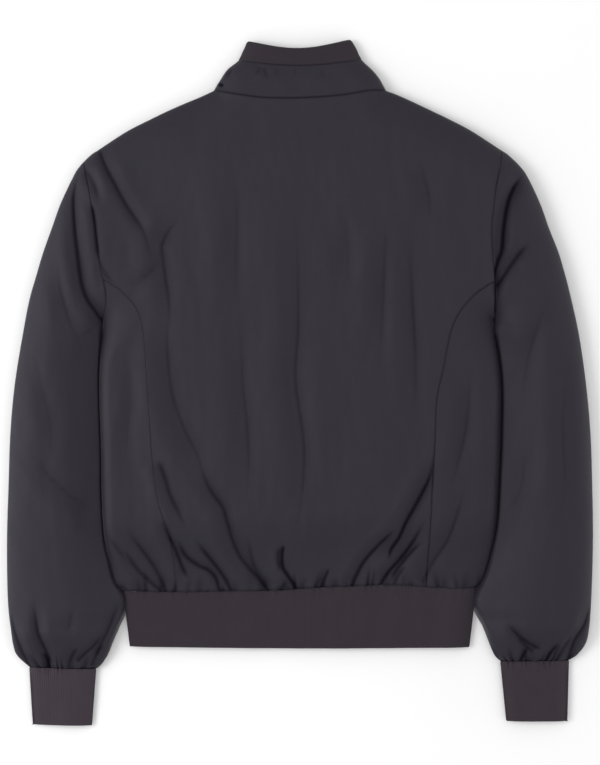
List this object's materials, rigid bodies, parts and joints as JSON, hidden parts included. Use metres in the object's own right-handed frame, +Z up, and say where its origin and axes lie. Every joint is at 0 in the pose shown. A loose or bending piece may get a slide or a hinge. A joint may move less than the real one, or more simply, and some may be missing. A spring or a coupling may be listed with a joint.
{
  "type": "bomber jacket, laid flat back up",
  "caption": "Bomber jacket laid flat on its closed front: shell panels, knit collar, cuffs and hem band, open neck, cuffs and hem, front zip with a hinged pull tab.",
  "frame": {"origin": "middle of the underside of the bounding box, on the surface the jacket lies on", "axes": "+Z up out of the back, +Y from the hem to the collar, +X to the picture's right"},
  "size_m": [0.6797, 0.7978, 0.03],
  "materials": {
    "shell": "matte",
    "knit": "matte",
    "zip": "satin",
    "metal": "satin"
  },
  "bodies": {
    "jacket": {"back": "shell", "side_panel_left": "shell", "side_panel_right": "shell", "front_left": "shell", "front_right": "shell", "sleeve_left": "shell", "sleeve_right": "shell", "collar_stand": "shell", "collar_rib": "knit", "hem_rib": "knit", "cuff_left": "knit", "cuff_right": "knit", "zip_tape_left": "zip", "zip_tape_right": "zip", "zip_chain_lower": "zip", "zip_chain_upper": "zip", "zip_slider": "metal"},
    "zip_pull": {"zip_pull": "metal"}
  },
  "joints": [
    {"name": "pull_hinge", "type": "hinge", "parent": "jacket", "child": "zip_pull", "pos_m": [0, 0.3162, 0.0027], "axis": [1, 0, 0], "range_deg": [0, 170]}
  ]
}
